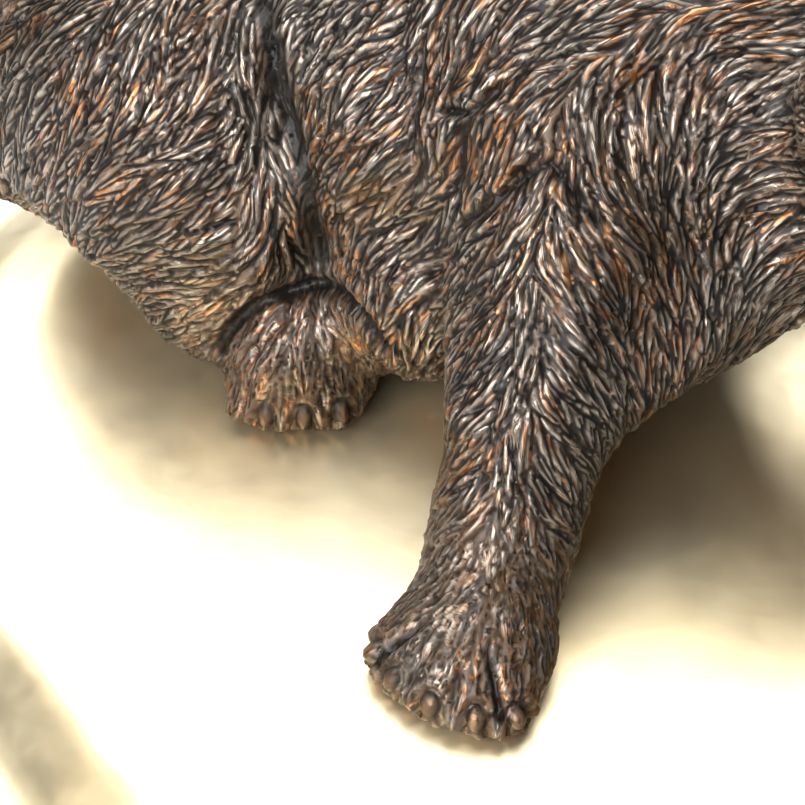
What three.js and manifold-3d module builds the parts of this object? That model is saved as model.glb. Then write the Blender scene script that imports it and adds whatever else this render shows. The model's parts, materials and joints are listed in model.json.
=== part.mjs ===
// A koala cast in resin with a bronze finish, crouching on a gilded boulder with one arm stretched
// out sideways. Millimetres, +Z up. The origin is under the middle of the boulder, on the surface
// that it stands on. +X is the side that the head points to, and the outstretched arm reaches to -Y.
import * as THREE from "three";
import { edgeTable, triTable } from "three/addons/objects/MarchingCubes.js";
import { mergeVertices } from "three/addons/utils/BufferGeometryUtils.js";
import Module from "manifold-3d";

const wasm = await Module();
wasm.setup();

// Driving dimensions
const BOULDER_LENGTH = 344;
const BOULDER_DEPTH = 322;
const BOULDER_HEIGHT = 58;
const BOULDER_FOOT_SHARE = 0.84;
const BOULDER_SWELL = 2.6;
const FIGURE_LENGTH = 286;
const FIGURE_PLACE = { x: -46, y: 55 };
const FIGURE_HEADING = THREE.MathUtils.degToRad(-20);
const SEAT_GAP = 0.35;

// The figure is laid out in hundredths of its own length: forward, right, up from the boulder's crown.
// Its locks of fur, its nails and the cells that its surface is sampled in are hundredths too.
const hundredth = FIGURE_LENGTH / 100;
const LOCK = { length: 15.5, width: 8.6, rise: 1.45, taper: 0.5, blend: 0.7, farthest: 6, lowest: 6 };
const NAIL_PROUD = 0.38;
const NAIL_THICKNESS = 1.2;
const NAIL_LEAN = 42;
const FINE_CELL = 2.1;
const COARSE_CELL = 3.3;
const { cos, sin, min, max, abs, hypot, PI } = Math;
const clamp = THREE.MathUtils.clamp;
const radians = THREE.MathUtils.degToRad;
const vec = (a) => new THREE.Vector3(...a);

function toWorld([forward, right, up]) {
  return new THREE.Vector3(
    FIGURE_PLACE.x + hundredth * (forward * cos(FIGURE_HEADING) + right * sin(FIGURE_HEADING)),
    FIGURE_PLACE.y + hundredth * (forward * sin(FIGURE_HEADING) - right * cos(FIGURE_HEADING)),
    BOULDER_HEIGHT + hundredth * up,
  );
}

function toFigure(x, y, z) {
  const dx = (x - FIGURE_PLACE.x) / hundredth;
  const dy = (y - FIGURE_PLACE.y) / hundredth;
  return [
    dx * cos(FIGURE_HEADING) + dy * sin(FIGURE_HEADING),
    dx * sin(FIGURE_HEADING) - dy * cos(FIGURE_HEADING),
    (z - BOULDER_HEIGHT) / hundredth,
  ];
}

// A ready-made shape with only its corners, each held once.
function welded(shape) {
  for (const name of ["normal", "uv"]) shape.deleteAttribute(name);
  return mergeVertices(shape, 1e-5);
}

// Boulder: a lathe turned about Z, then pushed out of round and gently swollen on top.
const CROWN_FULLNESS = 5.2;
const RIM_SHARE = 0.42;

const DENT_ANGLE = radians(219);
const DENT_WIDTH = radians(19);
const DENT_DEPTH = 0.145;

function outline(angle) {
  const fromDent = Math.atan2(sin(angle - DENT_ANGLE), cos(angle - DENT_ANGLE)) / DENT_WIDTH;
  const waves = 0.022 * cos(3 * angle + 0.7) + 0.016 * cos(5 * angle - 1.1) - 0.045 * cos(4 * angle);
  return 1 + waves - DENT_DEPTH * Math.exp(-fromDent * fromDent);
}

// The rim at full size, and the middle and half sizes of the box round it.
const BOULDER_SEGMENTS = 44;
const rimPoints = Array.from({ length: BOULDER_SEGMENTS }, (_, i) => {
  const angle = (2 * PI * i) / BOULDER_SEGMENTS;
  return [outline(angle) * cos(angle), outline(angle) * sin(angle)];
});
const rimSpan = [0, 1].map((axis) => {
  const values = rimPoints.map((point) => point[axis]);
  return { middle: (max(...values) + min(...values)) / 2, half: (max(...values) - min(...values)) / 2 };
});

// A place on the boulder from a direction and a share of the rim's radius there, and back.
function boulderPlace(angle, share, grow = 0) {
  const radius = outline(angle) * share;
  const stretch = [BOULDER_LENGTH / 2 + grow, BOULDER_DEPTH / 2 + grow];
  return [cos(angle), sin(angle)].map((part, axis) => {
    const { middle, half } = rimSpan[axis];
    return (stretch[axis] * (part * radius - middle)) / half;
  });
}

function boulderShare(x, y) {
  const across = (2 * x * rimSpan[0].half) / BOULDER_LENGTH + rimSpan[0].middle;
  const along = (2 * y * rimSpan[1].half) / BOULDER_DEPTH + rimSpan[1].middle;
  return hypot(across, along) / outline(Math.atan2(along, across));
}

function swell(x, y) {
  const [along, across] = [x / BOULDER_LENGTH, y / BOULDER_DEPTH];
  const long = sin(8.4 * along + 0.8) * cos(6.85 * across - 0.4);
  const cross = sin(5.9 * along + 9.4 * across + 2.1);
  return BOULDER_SWELL * (0.6 * long + 0.4 * cross);
}

// Height of the boulder's top at a share of its radius, before the swell.
function crown(share) {
  const rim = BOULDER_HEIGHT * RIM_SHARE;
  return rim + (BOULDER_HEIGHT - rim) * (1 - clamp(share, 0, 1) ** CROWN_FULLNESS) ** (1 / 2.2);
}

function boulderTop(x, y) {
  const share = boulderShare(x, y);
  return crown(share) + swell(x, y) * swellFade(share);
}

function swellFade(share) {
  return 1 - clamp(share, 0, 1) ** 4;
}

function boulderGeometry(grow = 0) {
  const profile = [new THREE.Vector2(0, 0), new THREE.Vector2(BOULDER_FOOT_SHARE, 0)];
  const underRings = 3;
  for (let i = 1; i <= underRings; i++) {
    const t = (i / underRings) * (PI / 2);
    const share = BOULDER_FOOT_SHARE + (1 - BOULDER_FOOT_SHARE) * sin(t);
    profile.push(new THREE.Vector2(share, BOULDER_HEIGHT * RIM_SHARE * (1 - cos(t))));
  }
  const topRings = 9;
  for (let i = 1; i <= topRings; i++) {
    const share = cos((i / topRings) * (PI / 2));
    profile.push(new THREE.Vector2(share < 1e-6 ? 0 : share, crown(share)));
  }
  const lathe = welded(new THREE.LatheGeometry(profile, BOULDER_SEGMENTS));
  lathe.rotateX(PI / 2);
  const at = lathe.getAttribute("position");
  for (let i = 0; i < at.count; i++) {
    const angle = Math.atan2(at.getY(i), at.getX(i));
    const share = hypot(at.getX(i), at.getY(i));
    const [x, y] = boulderPlace(angle, share, grow);
    const onTop = clamp((at.getZ(i) / BOULDER_HEIGHT - RIM_SHARE) / (1 - RIM_SHARE), 0, 1);
    at.setXYZ(i, x, y, at.getZ(i) + (onTop > 0 ? swell(x, y) * swellFade(share) + grow : 0));
  }
  return lathe;
}

// Signed distances, in hundredths of the figure's length.
function ellipsoid(center, radii, blend, yaw = 0, pitch = 0, roll = 0) {
  const turn = new THREE.Matrix4().makeRotationFromEuler(
    new THREE.Euler(radians(roll), radians(pitch), radians(yaw), "ZYX"),
  );
  const [a, b, c] = [new THREE.Vector3(), new THREE.Vector3(), new THREE.Vector3()];
  turn.extractBasis(a, b, c);
  const reach = max(...radii);
  const distance = ([f, r, u]) => {
    const [x, y, z] = [f - center[0], r - center[1], u - center[2]];
    const p = (x * a.x + y * a.y + z * a.z) / radii[0];
    const q = (x * b.x + y * b.y + z * b.z) / radii[1];
    const s = (x * c.x + y * c.y + z * c.z) / radii[2];
    const inner = hypot(p, q, s);
    const slope = hypot(p / radii[0], q / radii[1], s / radii[2]);
    return inner < 1e-6 ? -min(...radii) : (inner * (inner - 1)) / slope;
  };
  return { distance, blend, center, reach };
}

function limb(start, end, startRadius, endRadius, blend) {
  const along = end.map((v, i) => v - start[i]);
  const length2 = along.reduce((sum, v) => sum + v * v, 0);
  const distance = (p) => {
    const d = [p[0] - start[0], p[1] - start[1], p[2] - start[2]];
    const t = clamp((d[0] * along[0] + d[1] * along[1] + d[2] * along[2]) / length2, 0, 1);
    const away = hypot(d[0] - t * along[0], d[1] - t * along[1], d[2] - t * along[2]);
    return away - (startRadius + (endRadius - startRadius) * t);
  };
  const center = start.map((v, i) => (v + end[i]) / 2);
  return { distance, blend, center, reach: Math.sqrt(length2) / 2 + max(startRadius, endRadius) };
}

function smoothJoin(a, b, blend) {
  const overlap = max(blend - abs(a - b), 0) / blend;
  return min(a, b) - (overlap * overlap * blend) / 4;
}

// A point that rests on the boulder's top under it, with the height of the point above that top.
function resting(forward, right, rise) {
  const below = toWorld([forward, right, 0]);
  return [forward, right, (boulderTop(below.x, below.y) - BOULDER_HEIGHT) / hundredth + rise];
}

// Head: its own frame turns towards the right side and nods.
const HEAD_CENTER = [57, -3.5, 36];
const HEAD_YAW = radians(14);
const HEAD_NOD = radians(9);

function onHead(front, side, up) {
  const nodded = front * cos(HEAD_NOD) + up * sin(HEAD_NOD);
  return [
    HEAD_CENTER[0] + nodded * cos(HEAD_YAW) - side * sin(HEAD_YAW),
    HEAD_CENTER[1] + nodded * sin(HEAD_YAW) + side * cos(HEAD_YAW),
    HEAD_CENTER[2] - front * sin(HEAD_NOD) + up * cos(HEAD_NOD),
  ];
}

const headDegrees = THREE.MathUtils.radToDeg(HEAD_YAW);
const SKULL = [13.4, 15.2, 13.6];
const EYE = { front: 11.6, side: 6.5, up: 2.9, radius: 1.6, sunk: 0.45 };
const NOSE = { front: 14.1, up: -1.2, radii: [3.4, 3.6, 5.4], sunk: 1.3 };
const EAR = { front: -1.5, side: 15.4, up: 9.2, radii: [4.6, 9.2, 8.8], splay: 24, tilt: 22 };

function torsoMasses() {
  const masses = [
    ellipsoid([-20, 0, 19], [18, 16.5, 17], 8),
    ellipsoid([-3, 0, 24], [23, 16, 18.5], 10),
    ellipsoid([21, 0, 29], [19, 16.5, 17], 10),
    ellipsoid([32, 4.5, 21], [17, 20, 14.5], 6),
    limb([27, 0, 31], HEAD_CENTER, 17, 14, 9),
  ];
  for (const side of [-1, 1]) {
    masses.push(
      ellipsoid([15, side * 7.5, 15.5], [10.5, 15.5, 13], 2.2),
      ellipsoid([10.5, side * 6, 27], [11, 13, 13.5], 2.6),
    );
  }
  return masses;
}

function headMasses() {
  const masses = [
    ellipsoid(HEAD_CENTER, SKULL, 7, headDegrees),
    ellipsoid(onHead(8.2, 0, -4.6), [6.6, 8.2, 7.4], 5, headDegrees),
  ];
  for (const side of [-1, 1]) {
    masses.push(
      ellipsoid(onHead(1.5, side * 11, -5.5), [8.6, 7.6, 8.2], 6, headDegrees),
      ellipsoid(onHead(9.4, side * 5.4, 5.4), [4.2, 4.6, 2.7], 4, headDegrees),
    );
  }
  return masses;
}

function earMass(side) {
  const outward = headDegrees + side * EAR.splay;
  return ellipsoid(onHead(EAR.front, side * EAR.side, EAR.up), EAR.radii, 3.2, outward, 0, side * EAR.tilt);
}

function earHollow(side) {
  const outward = radians(side * EAR.splay);
  const ahead = EAR.radii[0] * 1.25;
  const front = EAR.front + ahead * cos(outward);
  const center = onHead(front, side * EAR.side + ahead * sin(outward), EAR.up - 0.6);
  const radii = [EAR.radii[0] * 0.95, EAR.radii[1] * 0.66, EAR.radii[2] * 0.6];
  return ellipsoid(center, radii, 2, headDegrees + side * EAR.splay, 0, side * EAR.tilt);
}

// Arms and legs end in broad paws with five toes each.
const HAND = { length: 8.4, width: 7.6, depth: 4.9, toe: 2.05, fan: 25, nails: [-2, -1, 0, 1, 2] };
const FOOT = { length: 7.4, width: 7, depth: 7.6, toe: 1.85, fan: 24, nails: [-1, 0, 1] };
const RIGHT_HAND = { at: [29.5, 43.2], points: -9, ...HAND };
const LEFT_HAND = { at: [52, -22], points: 100, ...HAND };
const RIGHT_FOOT = { at: [3.8, 17.4], points: 22, ...FOOT };
const LEFT_FOOT = { at: [3.8, -17.4], points: 158, ...FOOT };
const PAWS = [RIGHT_HAND, LEFT_HAND, RIGHT_FOOT, LEFT_FOOT];

// A place on a paw: ahead towards the toes, aside, and above the boulder. points turns it from
// straight out to the right, in degrees towards the head.
function onPaw(paw, ahead, aside, rise) {
  const turn = radians(paw.points);
  const forward = paw.at[0] + ahead * sin(turn) + aside * cos(turn);
  const right = paw.at[1] + ahead * cos(turn) - aside * sin(turn);
  return resting(forward, right, rise);
}

const TOES = [-2, -1, 0, 1, 2];

function toeEnds(paw, toe) {
  const turn = radians(toe * paw.fan);
  const ahead = paw.length * 0.83 * cos(turn);
  const aside = paw.width * 1.04 * sin(turn * 1.18);
  return {
    knuckle: onPaw(paw, ahead * 0.35, aside * 0.7, paw.depth * 0.72),
    tip: onPaw(paw, ahead, aside, paw.toe * 1.02),
    turn: turn * 0.8,
  };
}

function pawMasses(paw) {
  const yaw = 90 - paw.points;
  const masses = [ellipsoid(onPaw(paw, 0, 0, paw.depth * 0.62), [paw.length * 0.88, paw.width, paw.depth], 2.4, yaw)];
  for (const toe of TOES) {
    const { knuckle, tip } = toeEnds(paw, toe);
    masses.push(limb(knuckle, tip, paw.toe * 1.12, paw.toe, 1.1));
  }
  return masses;
}

function armMasses() {
  const rightWrist = onPaw(RIGHT_HAND, -7.2, -1.5, 5.2);
  const leftWrist = onPaw(LEFT_HAND, -7.6, 0, 5.2);
  const rightElbow = [29.6, 25.5, 18];
  const leftElbow = [35, -26.5, 13.5];
  return [
    ellipsoid([26.5, 8, 29], [13, 14, 13.5], 3),
    limb([29, 12, 28.5], rightElbow, 11, 7.6, 2.2),
    limb(rightElbow, rightWrist, 7.6, 6.4, 3),
    ellipsoid([26.5, -8, 28], [13, 14, 13.5], 3),
    limb([29, -12, 27], leftElbow, 11, 8.2, 2.2),
    limb(leftElbow, leftWrist, 8.2, 6.5, 3),
  ];
}

function legMasses() {
  const masses = [];
  for (const [side, foot] of [
    [1, RIGHT_FOOT],
    [-1, LEFT_FOOT],
  ]) {
    masses.push(
      ellipsoid([-12, side * 8, 24], [15.5, 12.5, 15.5], 4),
      ellipsoid([-7.5, side * 10.5, 17.5], [14, 12.5, 15], 2.4),
      limb([-6, side * 13.5, 8], onPaw(foot, -3, 0, 5.2), 8, 5.6, 1.6),
    );
  }
  return masses;
}

const bodyMasses = [...torsoMasses(), ...headMasses(), ...legMasses(), ...armMasses()];
const pawList = PAWS.flatMap(pawMasses);
const ears = [-1, 1].map((side) => ({ mass: earMass(side), hollow: earHollow(side) }));

function smoothField(p) {
  let distance = 1e3;
  for (const mass of bodyMasses) distance = smoothJoin(distance, mass.distance(p), mass.blend);
  for (const mass of pawList) {
    const away = hypot(p[0] - mass.center[0], p[1] - mass.center[1], p[2] - mass.center[2]);
    if (away < mass.reach + 8) distance = smoothJoin(distance, mass.distance(p), mass.blend);
  }
  for (const { mass, hollow } of ears) {
    const ear = -smoothJoin(-mass.distance(p), hollow.distance(p), 1.2);
    distance = smoothJoin(distance, ear, mass.blend);
  }
  return distance;
}

function slopeOf(field, p, step = 0.4) {
  const grad = [0, 1, 2].map((axis) => {
    const [low, high] = [[...p], [...p]];
    low[axis] -= step;
    high[axis] += step;
    return field(high) - field(low);
  });
  return vec(grad).normalize();
}

function settle(field, p, rounds = 3) {
  let point = [...p];
  for (let i = 0; i < rounds; i++) {
    const slope = slopeOf(field, point);
    const off = field(point);
    point = [point[0] - off * slope.x, point[1] - off * slope.y, point[2] - off * slope.z];
  }
  return point;
}

// Locks of fur: tapered strands laid along the way the coat lies, with their tips a little proud.
function coatDirection(p) {
  const [forward, right, up] = p;
  if (forward > HEAD_CENTER[0] - 12 && up > 14) {
    return new THREE.Vector3(-0.8, 0.35 * Math.sign(right - HEAD_CENTER[1]), up > HEAD_CENTER[2] ? 0.1 : -0.6);
  }
  const outOfBody = abs(right) - 19;
  if (outOfBody > 0 && forward > 18) return new THREE.Vector3(0.1, Math.sign(right) * 0.9, -0.5);
  return abs(right) < 6 ? new THREE.Vector3(-1, 0, -0.2) : new THREE.Vector3(-0.6, 0, -0.8);
}

// Each lock is two limbs that follow the skin: sunk at the root, proud by its rise at the tip.
function lockAt(start, scale = 1) {
  const root = (LOCK.width / 2) * scale;
  const onSkin = settle(smoothField, start);
  const normal = slopeOf(smoothField, onSkin);
  const along = coatDirection(onSkin);
  along.addScaledVector(normal, -along.dot(normal)).normalize();
  const places = [0, 0.5, 1].map((share) => {
    const ahead = onSkin.map((v, i) => v + along.getComponent(i) * LOCK.length * scale * share);
    const skin = settle(smoothField, ahead);
    const radius = root * (1 - LOCK.taper * share);
    const lift = LOCK.rise * scale * share - radius * 0.95;
    const out = slopeOf(smoothField, skin);
    return { ahead, skin, radius, center: skin.map((v, i) => v + out.getComponent(i) * lift) };
  });
  const halves = [0, 1].map((n) => {
    const [from, to] = [places[n], places[n + 1]];
    return limb(from.center, to.center, from.radius, to.radius, LOCK.blend);
  });
  return { places, halves };
}

// A lock that would leave the skin or reach under the belly is left out.
function liesOnCoat({ places }) {
  return places.every(({ ahead, skin }) => smoothField(ahead) < LOCK.farthest && skin[2] > LOCK.lowest);
}

function lockRing(center, radii, count, from, to, scale) {
  const made = [];
  const golden = PI * (3 - Math.sqrt(5));
  for (let i = 0; i < count; i++) {
    const height = from + ((to - from) * (i + 0.5)) / count;
    const ring = Math.sqrt(1 - height * height);
    const turn = i * golden;
    made.push(lockAt([
      center[0] + radii[0] * height,
      center[1] + radii[1] * ring * cos(turn),
      center[2] + radii[2] * ring * sin(turn),
    ], scale));
  }
  return made;
}

function coatLocks() {
  const body = lockRing([2, 0, 24], [42, 20, 21], 70, -0.98, 0.86, 1);
  const ruff = lockRing(HEAD_CENTER, [14, 17, 15], 26, -0.9, 0.35, 0.82);
  const thighs = [-1, 1].flatMap((side) => lockRing([-15.5, side * 12, 18], [16, 13, 17], 12, -0.8, 0.8, 0.95));
  return [...body, ...ruff, ...thighs].filter(liesOnCoat).flatMap(({ halves }) => halves);
}

const locks = coatLocks();

function carvedField(p) {
  let distance = smoothField(p);
  if (distance > 8 || distance < -8) return distance;
  for (const lock of locks) {
    const [x, y, z] = [p[0] - lock.center[0], p[1] - lock.center[1], p[2] - lock.center[2]];
    if (x * x + y * y + z * z < (lock.reach + 4) ** 2) {
      distance = smoothJoin(distance, lock.distance(p), lock.blend);
    }
  }
  return distance;
}

// From where to where masses reach along one of the world's axes.
function spanOf(masses, axis) {
  const ends = masses.flatMap(({ center, reach }) => {
    const middle = toWorld(center).getComponent(axis);
    return [middle - reach * hundredth, middle + reach * hundredth];
  });
  return [min(...ends), max(...ends)];
}

// Lines of the sampling grid across all masses: fine over the paws that are named, coarse elsewhere.
function gridLines(axis, finePaws) {
  const margin = COARSE_CELL * hundredth;
  const [from, to] = spanOf([...bodyMasses, ...pawList, ...ears.map(({ mass }) => mass), ...locks], axis);
  const [fineFrom, fineTo] = spanOf(finePaws.flatMap(pawMasses), axis);
  const lines = [from - margin];
  while (lines.at(-1) < to + margin) {
    const here = lines.at(-1);
    const cell = here >= fineFrom - margin && here < fineTo ? FINE_CELL : COARSE_CELL;
    lines.push(here + cell * hundredth);
  }
  return lines;
}

// Marching cubes over the grid, with each vertex then eased along the surface and set back onto it.
const CORNERS = [[0, 0, 0], [1, 0, 0], [1, 1, 0], [0, 1, 0], [0, 0, 1], [1, 0, 1], [1, 1, 1], [0, 1, 1]];
const EDGES = [[0, 1], [1, 2], [2, 3], [3, 0], [4, 5], [5, 6], [6, 7], [7, 4], [0, 4], [1, 5], [2, 6], [3, 7]];

function polygonise(field, xs, ys, zs) {
  const [nx, ny] = [xs.length, ys.length];
  const index = (i, j, k) => i + nx * (j + ny * k);
  const values = new Float64Array(nx * ny * zs.length);
  zs.forEach((z, k) => ys.forEach((y, j) => xs.forEach((x, i) => {
    values[index(i, j, k)] = field(toFigure(x, y, z)) * hundredth;
  })));
  const vertices = [];
  const known = new Map();
  const vertexOn = (a, b) => {
    const [ia, ib] = [index(...a), index(...b)];
    const key = ia < ib ? ia + "_" + ib : ib + "_" + ia;
    if (!known.has(key)) {
      const t = clamp(values[ia] / (values[ia] - values[ib]), 0.14, 0.86);
      const mix = (line, axis) => line[a[axis]] + t * (line[b[axis]] - line[a[axis]]);
      known.set(key, vertices.length);
      vertices.push([mix(xs, 0), mix(ys, 1), mix(zs, 2)]);
    }
    return known.get(key);
  };
  const triangles = [];
  for (let k = 0; k + 1 < zs.length; k++) {
    for (let j = 0; j + 1 < ny; j++) {
      for (let i = 0; i + 1 < nx; i++) {
        const corner = CORNERS.map(([a, b, c]) => [i + a, j + b, k + c]);
        let state = 0;
        corner.forEach((c, n) => { if (values[index(...c)] < 0) state |= 1 << n; });
        if (!edgeTable[state]) continue;
        for (let t = state * 16; triTable[t] !== -1; t += 3) {
          const made = [0, 1, 2].map((n) => EDGES[triTable[t + n]].map((c) => corner[c]));
          triangles.push(made.map(([a, b]) => vertexOn(a, b)));
        }
      }
    }
  }
  return { vertices, triangles };
}

function relax({ vertices, triangles }, field, rounds) {
  const around = vertices.map(() => new Set());
  for (const [a, b, c] of triangles) {
    around[a].add(b).add(c);
    around[b].add(a).add(c);
    around[c].add(a).add(b);
  }
  let points = vertices.map((v) => toFigure(...v));
  for (let round = 0; round < rounds; round++) {
    points = points.map((p, n) => {
      const mean = [0, 0, 0];
      for (const m of around[n]) points[m].forEach((v, i) => { mean[i] += v / around[n].size; });
      return settle(field, p.map((v, i) => v + 0.55 * (mean[i] - v)), 1);
    });
  }
  return { points, triangles };
}

function figureGeometry() {
  const xs = gridLines(0, [RIGHT_HAND, RIGHT_FOOT]);
  const ys = gridLines(1, [RIGHT_HAND]);
  const zs = gridLines(2, [RIGHT_HAND]);
  const { points, triangles } = relax(polygonise(carvedField, xs, ys, zs), carvedField, 4);
  const flat = points.flatMap((p) => toWorld(p).toArray());
  const geometry = new THREE.BufferGeometry();
  geometry.setAttribute("position", new THREE.Float32BufferAttribute(flat, 3));
  geometry.setIndex(triangles.flat());
  return geometry;
}

// Solids for cutting and joining, whichever way round the triangles came.
function solidOf(geometry) {
  const vertProperties = new Float32Array(geometry.getAttribute("position").array);
  const triVerts = new Uint32Array(geometry.index.array);
  const made = new wasm.Manifold(new wasm.Mesh({ numProp: 3, vertProperties, triVerts }));
  if (made.volume() >= 0) return made;
  for (let i = 0; i < triVerts.length; i += 3) triVerts.subarray(i, i + 2).reverse();
  return new wasm.Manifold(new wasm.Mesh({ numProp: 3, vertProperties, triVerts }));
}

function geometryOf(solid) {
  const { vertProperties, triVerts, numProp } = solid.getMesh();
  const flat = [];
  for (let i = 0; i < vertProperties.length; i += numProp) flat.push(...vertProperties.subarray(i, i + 3));
  const geometry = new THREE.BufferGeometry();
  geometry.setAttribute("position", new THREE.Float32BufferAttribute(flat, 3));
  geometry.setIndex([...triVerts]);
  return geometry;
}

// A ball squeezed to three radii in hundredths, with its axes along three directions of the figure.
function bead(center, radii, axes, around = 10, down = 7) {
  const ball = welded(new THREE.SphereGeometry(1, around, down));
  const at = toWorld(center);
  const columns = axes.map((axis, i) => {
    const tip = toWorld(center.map((v, n) => v + axis.getComponent(n) * radii[i]));
    return tip.sub(at);
  });
  ball.applyMatrix4(new THREE.Matrix4().makeBasis(...columns).setPosition(at));
  return ball;
}

// Nails: ovals that lean on the front of each toe.
function nailBeads(paw) {
  return paw.nails.map((toe) => {
    const { tip, turn } = toeEnds(paw, toe);
    const heading = radians(paw.points) + turn;
    const ahead = new THREE.Vector3(sin(heading), cos(heading), 0);
    const aside = new THREE.Vector3(cos(heading), -sin(heading), 0);
    const lean = radians(NAIL_LEAN);
    const face = ahead.clone().multiplyScalar(cos(lean)).add(new THREE.Vector3(0, 0, sin(lean)));
    const down = ahead.clone().multiplyScalar(sin(lean)).add(new THREE.Vector3(0, 0, -cos(lean)));
    const reach = paw.toe * 0.98 + NAIL_PROUD - NAIL_THICKNESS;
    const center = tip.map((v, i) => v + face.getComponent(i) * reach);
    return bead(center, [paw.toe * 0.56, paw.toe * 0.84, NAIL_THICKNESS], [aside, down, face], 7, 5);
  });
}

// A place on the head's skin, then sunk under it.
function underSkin(place, sunk) {
  const onSkin = settle(smoothField, place, 5);
  const out = slopeOf(smoothField, onSkin);
  return onSkin.map((v, i) => v - out.getComponent(i) * sunk);
}

function faceBeads() {
  const middle = vec(onHead(0, 0, 0));
  const [front, side, up] = [vec(onHead(1, 0, 0)), vec(onHead(0, 1, 0)), vec(onHead(0, 0, 1))];
  const axes = [side, up, front].map((tip) => tip.sub(middle));
  const [depth, half, tall] = NOSE.radii;
  const nose = bead(underSkin(onHead(NOSE.front, 0, NOSE.up), NOSE.sunk), [half, tall, depth], axes);
  const eyes = [-1, 1].map((way) => {
    const place = underSkin(onHead(EYE.front, way * EYE.side, EYE.up), EYE.sunk);
    return bead(place, [EYE.radius, EYE.radius, EYE.radius], axes, 8, 6);
  });
  return [nose, ...eyes];
}

function koalaGeometry() {
  // The largest body is the figure; a grid this coarse can leave a speck beside a thin lock.
  const bodies = solidOf(figureGeometry()).decompose();
  let solid = bodies.reduce((best, body) => (body.volume() > best.volume() ? body : best));
  for (const piece of [...PAWS.flatMap(nailBeads), ...faceBeads()]) solid = solid.add(solidOf(piece));
  return geometryOf(solid.subtract(solidOf(boulderGeometry(SEAT_GAP))));
}

function named(name, geometry, material) {
  const mesh = new THREE.Mesh(geometry, material);
  mesh.name = name;
  return mesh;
}

const bronzeResin = new THREE.MeshStandardMaterial({ color: 0x3a2c22, roughness: 0.42, metalness: 0.45 });
const goldFinish = new THREE.MeshStandardMaterial({ color: 0xcdb679, roughness: 0.36, metalness: 1 });

const figurine = new THREE.Group();
figurine.add(named("koala", koalaGeometry(), bronzeResin));
figurine.add(named("boulder_base", boulderGeometry(), goldFinish));

export default figurine;
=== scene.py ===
# %% [markdown]
# # A koala cast in resin, crouching on a gilded boulder
# The figure is about 31 cm long and finished like old bronze: near-black in the grooves of the fur,
# grey-brown on its strokes, copper and umber in streaks. It crouches on a low rock in pale gold, with its
# right arm stretched out sideways. The camera of the photograph looks down at that arm, so the fur there
# gets the most care.
#
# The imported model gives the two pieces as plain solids. Each could be dressed with loose parts, but a
# casting has one skin, so each solid is smoothed and carved into a single mesh that then takes the solid's
# place.

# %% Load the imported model
import json
import math

import bmesh
import bpy
import numpy as np
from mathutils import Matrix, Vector
from mathutils.bvhtree import BVHTree

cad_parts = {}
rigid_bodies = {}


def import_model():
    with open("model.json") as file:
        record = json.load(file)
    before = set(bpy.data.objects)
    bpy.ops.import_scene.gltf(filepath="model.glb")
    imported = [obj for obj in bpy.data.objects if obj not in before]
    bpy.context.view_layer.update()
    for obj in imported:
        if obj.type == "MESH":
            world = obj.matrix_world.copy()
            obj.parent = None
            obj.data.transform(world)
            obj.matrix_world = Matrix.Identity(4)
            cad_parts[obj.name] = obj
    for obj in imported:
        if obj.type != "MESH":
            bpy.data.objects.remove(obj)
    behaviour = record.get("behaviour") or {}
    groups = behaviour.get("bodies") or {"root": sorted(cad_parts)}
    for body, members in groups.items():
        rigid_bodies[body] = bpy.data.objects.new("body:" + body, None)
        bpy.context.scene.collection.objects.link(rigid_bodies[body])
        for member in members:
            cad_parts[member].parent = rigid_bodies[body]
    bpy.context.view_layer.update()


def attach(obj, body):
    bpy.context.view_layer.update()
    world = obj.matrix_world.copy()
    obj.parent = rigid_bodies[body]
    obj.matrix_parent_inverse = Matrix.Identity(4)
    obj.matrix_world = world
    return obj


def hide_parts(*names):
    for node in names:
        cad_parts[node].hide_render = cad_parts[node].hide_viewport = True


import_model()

MM = 0.001

# %% [markdown]
# ## Camera
# The photograph is a close-up from above the animal's right side. A long lens from three quarters of a
# metre gives its flat perspective. The same numbers turn a pixel of the photograph into a ray, which later
# places the partings of the coat. A pixel is a place in the photograph's 805 by 805 frame.

# %% Place the camera
PHOTO_SIZE = 805
CAMERA_AIM = Vector((-26, 0, 58)) * MM
CAMERA_ELEVATION = math.radians(45)
CAMERA_DISTANCE = 750 * MM
CAMERA_LENS = 124
CAMERA_SENSOR = 36

camera_back = Vector((0, -math.cos(CAMERA_ELEVATION), math.sin(CAMERA_ELEVATION)))
camera_place = CAMERA_AIM + camera_back * CAMERA_DISTANCE
camera_turn = (-camera_back).to_track_quat("-Z", "Y")

camera_data = bpy.data.cameras.new("photo_camera")
camera_data.lens = CAMERA_LENS
camera_data.sensor_width = CAMERA_SENSOR
camera = bpy.data.objects.new("photo_camera", camera_data)
camera.location = camera_place
camera.rotation_euler = camera_turn.to_euler()
bpy.context.scene.collection.objects.link(camera)
bpy.context.scene.camera = camera


def photo_ray(pixel):
    reach = CAMERA_SENSOR / CAMERA_LENS
    across = (pixel[0] / PHOTO_SIZE - 0.5) * reach
    up = (0.5 - pixel[1] / PHOTO_SIZE) * reach
    return (camera_turn @ Vector((across, up, -1))).normalized()


print("camera at", [round(v, 3) for v in camera_place])

# %% [markdown]
# ## Meshes as arrays
# The coat has more than a million points, too many for a Python loop over vertices. Blender can hand a mesh
# over as numpy arrays and take it back, so every step on the coat works on whole arrays.

# %% Read and write meshes as arrays
def points_of(mesh):
    flat = np.empty(len(mesh.vertices) * 3, dtype=np.float32)
    mesh.vertices.foreach_get("co", flat)
    return flat.reshape(-1, 3).astype(np.float64)


def set_points(mesh, points):
    mesh.vertices.foreach_set("co", points.astype(np.float32).ravel())
    mesh.update()


def normals_of(mesh):
    flat = np.empty(len(mesh.vertices) * 3, dtype=np.float32)
    mesh.vertex_normals.foreach_get("vector", flat)
    return flat.reshape(-1, 3).astype(np.float64)


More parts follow.
